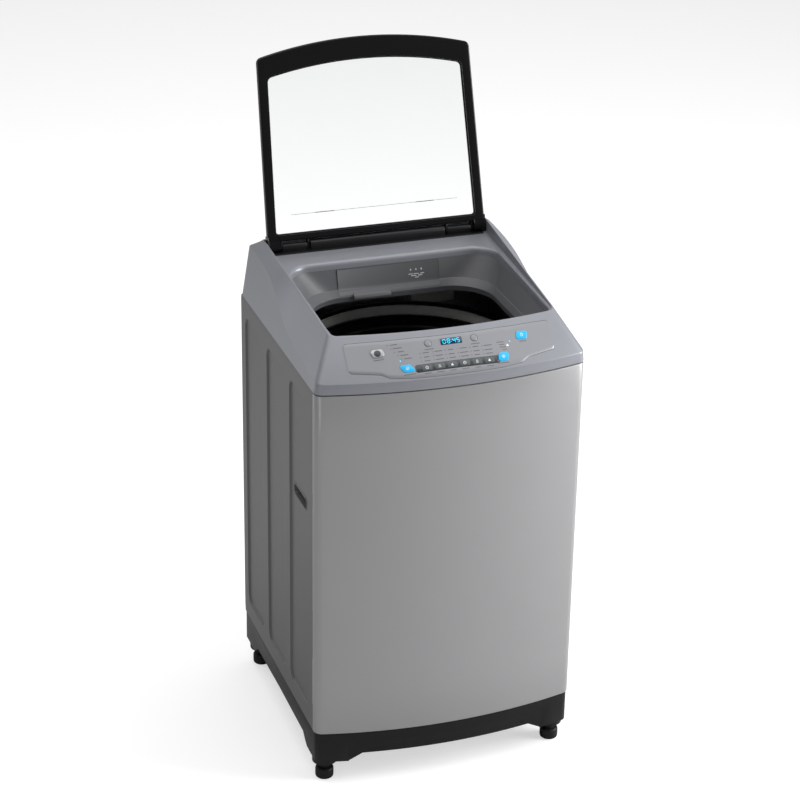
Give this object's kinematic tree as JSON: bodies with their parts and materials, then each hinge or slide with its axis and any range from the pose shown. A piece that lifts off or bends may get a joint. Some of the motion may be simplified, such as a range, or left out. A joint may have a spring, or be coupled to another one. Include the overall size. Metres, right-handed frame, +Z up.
{
  "type": "top load washing machine",
  "caption": "Top loading washing machine with an open framed glass lid, sloped control console, detergent drawer, hanging wash unit with drum and pulsator, on levelling feet.",
  "frame": {"origin": "on the floor under the middle of the open machine's bounding box", "axes": "+Z up, front faces -Y, +X to the right of a person facing the front"},
  "size_m": [0.6, 0.6755, 1.5115],
  "materials": {
    "alloy": "cast alloy",
    "black_plastic": "moulded black plastic",
    "board": "circuit board",
    "cover_plastic": "satin grey plastic",
    "cyan_key": "cyan key",
    "dark_key": "dark key",
    "display_glass": "dark window",
    "drawer_plastic": "satin grey plastic",
    "drum_steel": "stainless steel",
    "fascia_film": "printed film",
    "filter_mesh": "filter frame",
    "lid_black": "gloss black",
    "lid_glass": "clear tempered glass",
    "light_plastic": "natural plastic",
    "metal_key": "metallised key",
    "motor_paint": "dark paint",
    "ring_black": "gloss black plastic",
    "rubber": "rubber",
    "side_paint": "satin grey paint",
    "silver_panel": "satin silver paint",
    "steel": "brushed steel",
    "zinc_sheet": "zinc plated sheet"
  },
  "bodies": {
    "cabinet": {"front_panel": "silver_panel", "left_side_panel": "side_paint", "right_side_panel": "side_paint", "rear_panel": "zinc_sheet", "rear_access_cover": "zinc_sheet", "base_frame": "black_plastic", "hand_grip_left": "side_paint", "hand_grip_right": "side_paint", "top_cover": "cover_plastic", "throat_ring": "cover_plastic", "hinge_cover": "lid_black", "control_fascia": "fascia_film", "display_window": "display_glass", "control_board": "board", "dispenser_housing": "light_plastic", "inlet_valve": "light_plastic", "lid_lock": "light_plastic", "suspension_rods": "steel", "cord_gland": "black_plastic", "drain_outlet": "black_plastic", "panel_screws": "steel"},
    "lid": {"lid_frame": "lid_black", "lid_glass": "lid_glass", "lid_hinge_pins": "steel"},
    "drawer": {"detergent_drawer": "drawer_plastic"},
    "wash_unit": {"outer_tub": "light_plastic", "tub_rim": "ring_black", "drive_bracket": "zinc_sheet", "motor": "motor_paint", "gearbox": "alloy", "shaft_bearings": "steel", "shaft_seal": "rubber", "drain_valve": "light_plastic", "drive_belt": "rubber", "suspension_springs": "steel"},
    "drum": {"basket": "drum_steel", "balance_ring": "ring_black", "basket_hub": "alloy", "lint_filters": "filter_mesh"},
    "agitator": {"pulsator": "ring_black", "pulsator_shaft": "steel", "pulsator_screw": "steel", "drive_pulley": "alloy"},
    "motor_rotor": {"motor_pulley": "alloy"},
    "power_button": {"power_button": "cyan_key"},
    "start_button": {"start_button": "cyan_key"},
    "hold_button": {"hold_button": "cyan_key"},
    "program_button": {"program_button": "metal_key"},
    "level_button": {"level_button": "metal_key"},
    "timer_button": {"timer_button": "metal_key"},
    "key_1": {"key_1": "dark_key"},
    "key_2": {"key_2": "dark_key"},
    "key_3": {"key_3": "dark_key"},
    "key_4": {"key_4": "dark_key"},
    "key_5": {"key_5": "dark_key"},
    "key_6": {"key_6": "dark_key"},
    "foot_front_left": {"foot_front_left": "rubber"},
    "foot_front_right": {"foot_front_right": "rubber"},
    "foot_rear_left": {"foot_rear_left": "rubber"},
    "foot_rear_right": {"foot_rear_right": "rubber"}
  },
  "joints": [
    {"name": "lid_hinge", "type": "hinge", "parent": "cabinet", "child": "lid", "pos_m": [0, 0.20951, 1.07739], "axis": [1, 0, 0], "range_deg": [0, 108]},
    {"name": "drawer_slide", "type": "slide", "parent": "cabinet", "child": "drawer", "axis": [0, -1, 0], "range_m": [0, 0.09]},
    {"name": "suspension_bounce", "type": "slide", "parent": "cabinet", "child": "wash_unit", "axis": [0, 0, 1], "range_m": [-0.012, 0.012], "stiffness_N_per_m": 12000, "springref_m": 0.0319, "deforming": ["suspension_springs"]},
    {"name": "drum_spin", "type": "hinge", "parent": "wash_unit", "child": "drum", "pos_m": [0, -0.024, 0.5], "axis": [0, 0, 1], "continuous": true},
    {"name": "pulsator_spin", "type": "hinge", "parent": "wash_unit", "child": "agitator", "pos_m": [0, -0.024, 0.37], "axis": [0, 0, 1], "continuous": true},
    {"name": "motor_spin", "type": "hinge", "parent": "wash_unit", "child": "motor_rotor", "pos_m": [-0.17, -0.024, 0.154], "axis": [0, 0, 1], "continuous": true},
    {"name": "power_press", "type": "slide", "parent": "cabinet", "child": "power_button", "axis": [-0.096, 0.7038, -0.7038], "range_m": [0, 0.0012], "stiffness_N_per_m": 400, "springref_m": -0.001},
    {"name": "start_press", "type": "slide", "parent": "cabinet", "child": "start_button", "axis": [-0.0644, 0.7056, -0.7056], "range_m": [0, 0.0012], "stiffness_N_per_m": 400, "springref_m": -0.001},
    {"name": "hold_press", "type": "slide", "parent": "cabinet", "child": "hold_button", "axis": [0.0644, 0.7056, -0.7056], "range_m": [0, 0.0012], "stiffness_N_per_m": 400, "springref_m": -0.001},
    {"name": "program_press", "type": "slide", "parent": "cabinet", "child": "program_button", "axis": [0.0978, 0.7037, -0.7037], "range_m": [0, 0.0012], "stiffness_N_per_m": 400, "springref_m": -0.001},
    {"name": "level_press", "type": "slide", "parent": "cabinet", "child": "level_button", "axis": [0.031, 0.7068, -0.7068], "range_m": [0, 0.0012], "stiffness_N_per_m": 400, "springref_m": -0.001},
    {"name": "timer_press", "type": "slide", "parent": "cabinet", "child": "timer_button", "axis": [-0.031, 0.7068, -0.7068], "range_m": [0, 0.0012], "stiffness_N_per_m": 400, "springref_m": -0.001},
    {"name": "key_1_press", "type": "slide", "parent": "cabinet", "child": "key_1", "axis": [0.0393, 0.7066, -0.7066], "range_m": [0, 0.0012], "stiffness_N_per_m": 400, "springref_m": -0.001},
    {"name": "key_2_press", "type": "slide", "parent": "cabinet", "child": "key_2", "axis": [0.0226, 0.7069, -0.7069], "range_m": [0, 0.0012], "stiffness_N_per_m": 400, "springref_m": -0.001},
    {"name": "key_3_press", "type": "slide", "parent": "cabinet", "child": "key_3", "axis": [0.0059, 0.7071, -0.7071], "range_m": [0, 0.0012], "stiffness_N_per_m": 400, "springref_m": -0.001},
    {"name": "key_4_press", "type": "slide", "parent": "cabinet", "child": "key_4", "axis": [-0.0108, 0.7071, -0.7071], "range_m": [0, 0.0012], "stiffness_N_per_m": 400, "springref_m": -0.001},
    {"name": "key_5_press", "type": "slide", "parent": "cabinet", "child": "key_5", "axis": [-0.0275, 0.7068, -0.7068], "range_m": [0, 0.0012], "stiffness_N_per_m": 400, "springref_m": -0.001},
    {"name": "key_6_press", "type": "slide", "parent": "cabinet", "child": "key_6", "axis": [-0.0442, 0.7064, -0.7064], "range_m": [0, 0.0012], "stiffness_N_per_m": 400, "springref_m": -0.001},
    {"name": "foot_front_left_level", "type": "slide", "parent": "cabinet", "child": "foot_front_left", "axis": [0, 0, 1], "range_m": [-0.01, 0]},
    {"name": "foot_front_right_level", "type": "slide", "parent": "cabinet", "child": "foot_front_right", "axis": [0, 0, 1], "range_m": [-0.01, 0]},
    {"name": "foot_rear_left_level", "type": "slide", "parent": "cabinet", "child": "foot_rear_left", "axis": [0, 0, 1], "range_m": [-0.01, 0]},
    {"name": "foot_rear_right_level", "type": "slide", "parent": "cabinet", "child": "foot_rear_right", "axis": [0, 0, 1], "range_m": [-0.01, 0]}
  ],
  "couplings": [
    {"joint": "motor_spin", "follows": "pulsator_spin", "ratio": 3.2}
  ]
}
